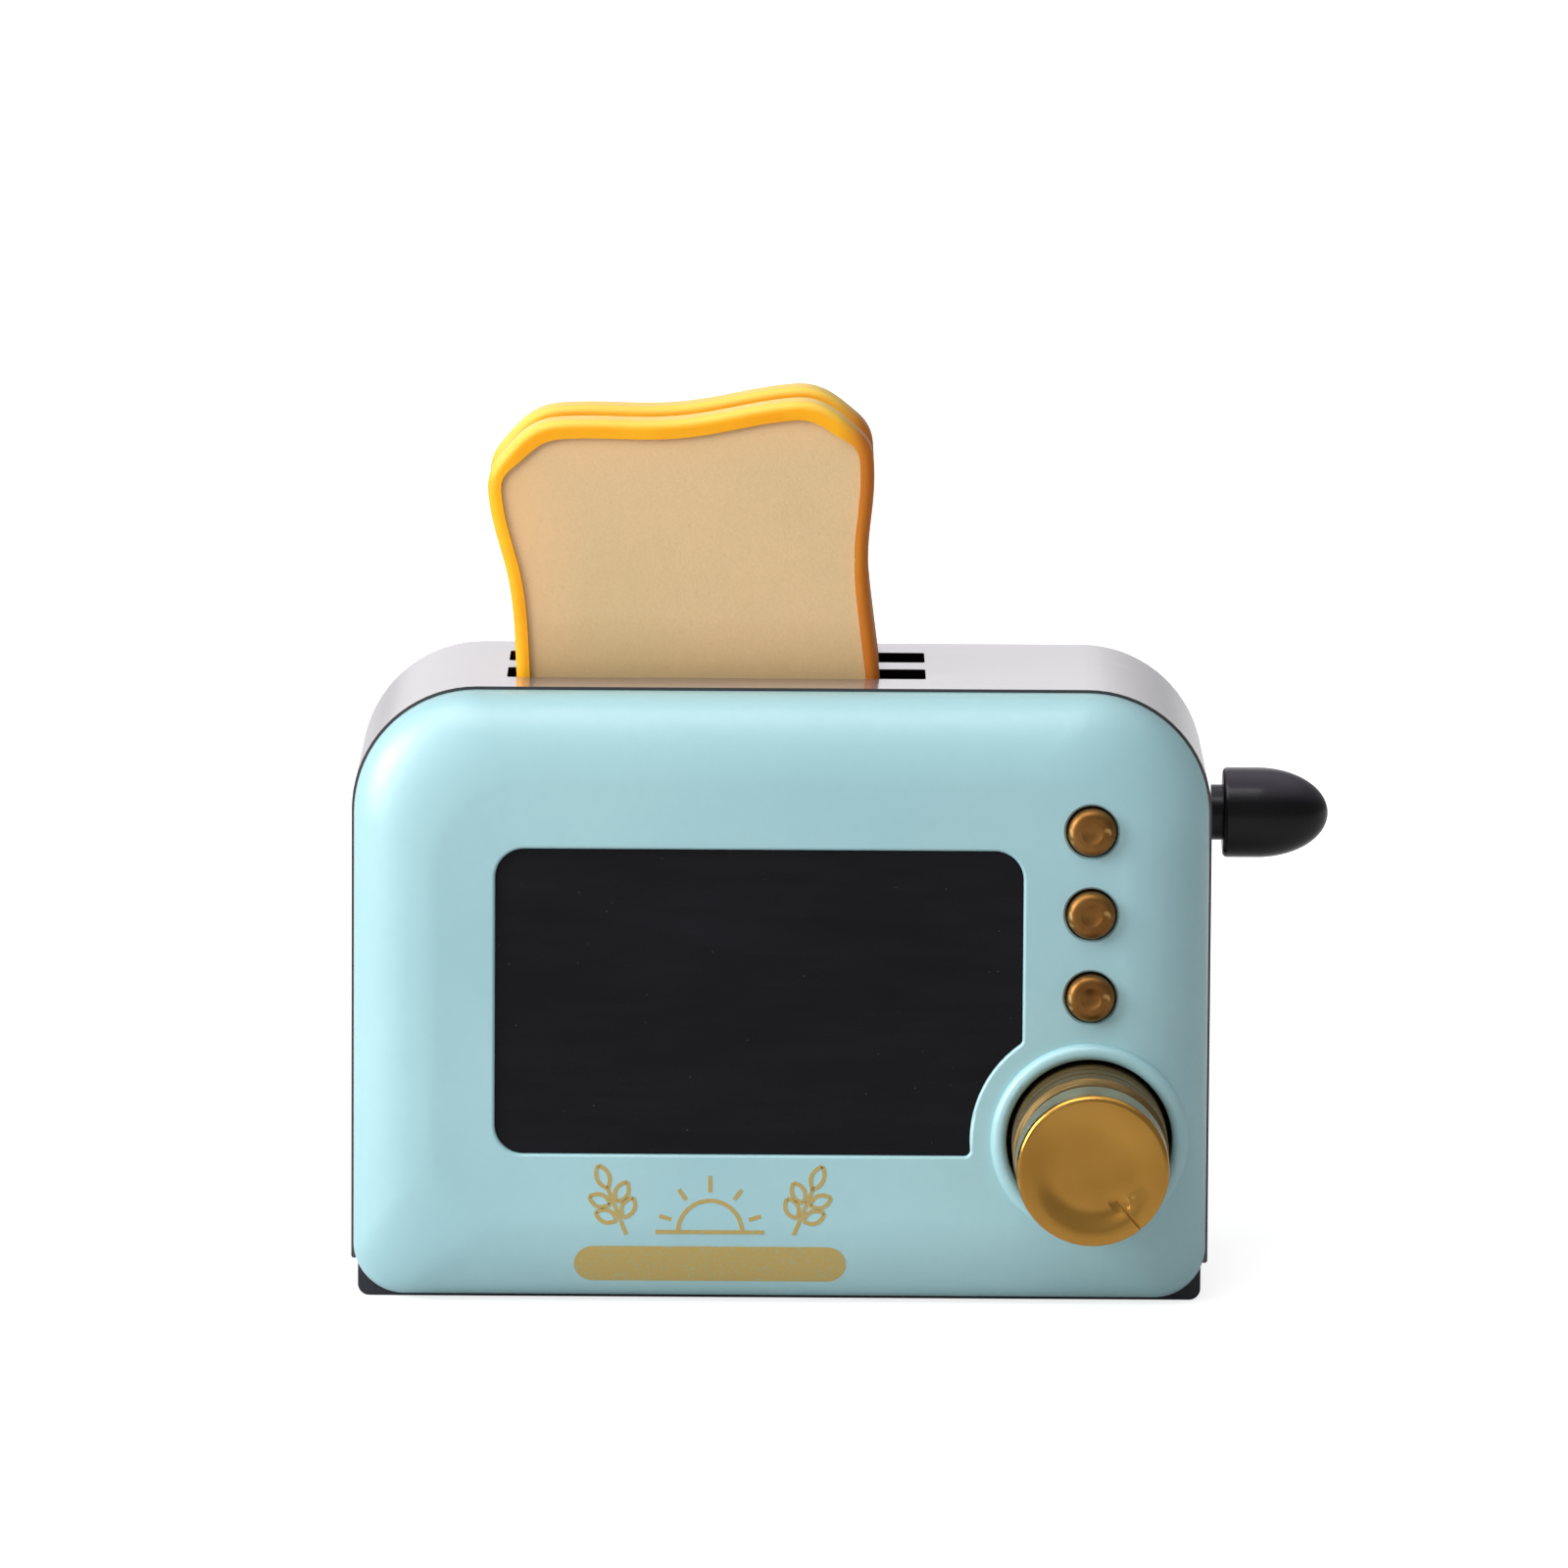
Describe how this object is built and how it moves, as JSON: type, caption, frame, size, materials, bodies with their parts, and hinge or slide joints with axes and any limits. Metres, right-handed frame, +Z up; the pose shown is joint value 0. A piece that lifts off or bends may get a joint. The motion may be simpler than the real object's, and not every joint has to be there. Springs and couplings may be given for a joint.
{
  "type": "miniature toaster",
  "caption": "Pop-up toy toaster with lever-lowered carriage, lift-out bread slices, turning dial, press buttons and a smoked window.",
  "frame": {"origin": "centre of the base's flat underside", "axes": "+X to the right seen from the front (the lever's side), +Y from the front towards the back, +Z up"},
  "size_m": [0.1012, 0.0658, 0.0923],
  "materials": {
    "mint_shell": "smooth moulded plastic with a soft gloss",
    "band_metal": "satin, finely brushed from side to side",
    "base_plastic": "fine matte texture",
    "inner_plastic": "plain moulded",
    "smoked_pane": "smoked and polished",
    "backing_card": "black card",
    "gold_plating": "satin gold plating",
    "button_plating": "darker satin bronze plating",
    "lever_plastic": "satin black",
    "crust": "smooth, soft sheen",
    "crumb": "fine grain",
    "steel": "bright zinc plated",
    "spring_steel": "drawn wire",
    "bush_brass": "turned"
  },
  "bodies": {
    "casing": {"front_shell": "mint_shell", "rear_shell": "mint_shell", "body_band": "band_metal", "base_plate": "base_plastic", "base_screws": "steel", "casing_screws": "steel", "window_pane": "smoked_pane", "window_backing": "backing_card", "control_plate": "inner_plastic", "control_screws": "steel", "dial_bush": "bush_brass", "detent_leaf": "spring_steel", "latch_pin": "steel", "slot_frame": "inner_plastic", "guide_rod_left": "steel", "guide_rod_right": "steel", "carriage_spring_left": "spring_steel", "carriage_spring_right": "spring_steel", "button_spring_top": "spring_steel", "button_spring_middle": "spring_steel", "button_spring_bottom": "spring_steel"},
    "carriage": {"carriage_plate": "inner_plastic", "rack_pin": "steel", "lever_arm": "steel", "lever_rivets": "steel", "lever_knob": "lever_plastic", "catch_leaf": "spring_steel"},
    "rack_front": {"bread_rack_front": "inner_plastic"},
    "rack_rear": {"bread_rack_rear": "inner_plastic"},
    "slice_front": {"bread_crust_front": "crust", "bread_crumb_front": "crumb"},
    "slice_rear": {"bread_crust_rear": "crust", "bread_crumb_rear": "crumb"},
    "dial": {"dial_knob": "gold_plating", "dial_shaft": "steel", "detent_wheel": "inner_plastic", "dial_screw": "steel"},
    "top_button": {"button_top": "button_plating"},
    "middle_button": {"button_middle": "button_plating"},
    "bottom_button": {"button_bottom": "button_plating"},
    "latch": {"latch_hook": "inner_plastic"}
  },
  "joints": [
    {"name": "carriage_slide", "type": "slide", "parent": "casing", "child": "carriage", "axis": [0, 0, 1], "range_m": [-0.025, 0], "stiffness_N_per_m": 30, "springref_m": 0.02, "deforming": ["carriage_spring_left", "carriage_spring_right", "catch_leaf"]},
    {"name": "rack_front_tilt", "type": "hinge", "parent": "carriage", "child": "rack_front", "pos_m": [-0.0072, -0.0062, 0.04522], "axis": [0, -1, 0], "range_deg": [-5, 0]},
    {"name": "rack_rear_tilt", "type": "hinge", "parent": "carriage", "child": "rack_rear", "pos_m": [-0.0072, 0.0062, 0.04522], "axis": [0, -1, 0], "range_deg": [-5, 0]},
    {"name": "slice_front_lift", "type": "slide", "parent": "rack_front", "child": "slice_front", "axis": [-0.0872, 0, 0.9962], "range_m": [0, 0.045]},
    {"name": "slice_rear_lift", "type": "slide", "parent": "rack_rear", "child": "slice_rear", "axis": [-0.0872, 0, 0.9962], "range_m": [0, 0.045]},
    {"name": "dial_turn", "type": "hinge", "parent": "casing", "child": "dial", "pos_m": [0.0318, -0.024, 0.01785], "axis": [0, 1, 0], "range_deg": [-270, 0], "deforming": ["detent_leaf"]},
    {"name": "top_button_press", "type": "slide", "parent": "casing", "child": "top_button", "axis": [0, 1, 0], "range_m": [0, 0.001], "stiffness_N_per_m": 300, "springref_m": -0.001, "deforming": ["button_spring_top"]},
    {"name": "middle_button_press", "type": "slide", "parent": "casing", "child": "middle_button", "axis": [0, 1, 0], "range_m": [0, 0.001], "stiffness_N_per_m": 300, "springref_m": -0.001, "deforming": ["button_spring_middle"]},
    {"name": "bottom_button_press", "type": "slide", "parent": "casing", "child": "bottom_button", "axis": [0, 1, 0], "range_m": [0, 0.001], "stiffness_N_per_m": 300, "springref_m": -0.001, "deforming": ["button_spring_bottom"]},
    {"name": "latch_swing", "type": "hinge", "parent": "casing", "child": "latch", "pos_m": [0.0318, -0.0034, 0.029], "axis": [-1, 0, 0], "range_deg": [0, 15.2]}
  ],
  "couplings": [
    {"joint": "rack_front_tilt", "follows": "carriage_slide", "rad_per_m": 3.49},
    {"joint": "rack_rear_tilt", "follows": "carriage_slide", "rad_per_m": 3.49},
    {"joint": "latch_swing", "follows": "bottom_button_press", "rad_per_m": 265}
  ]
}
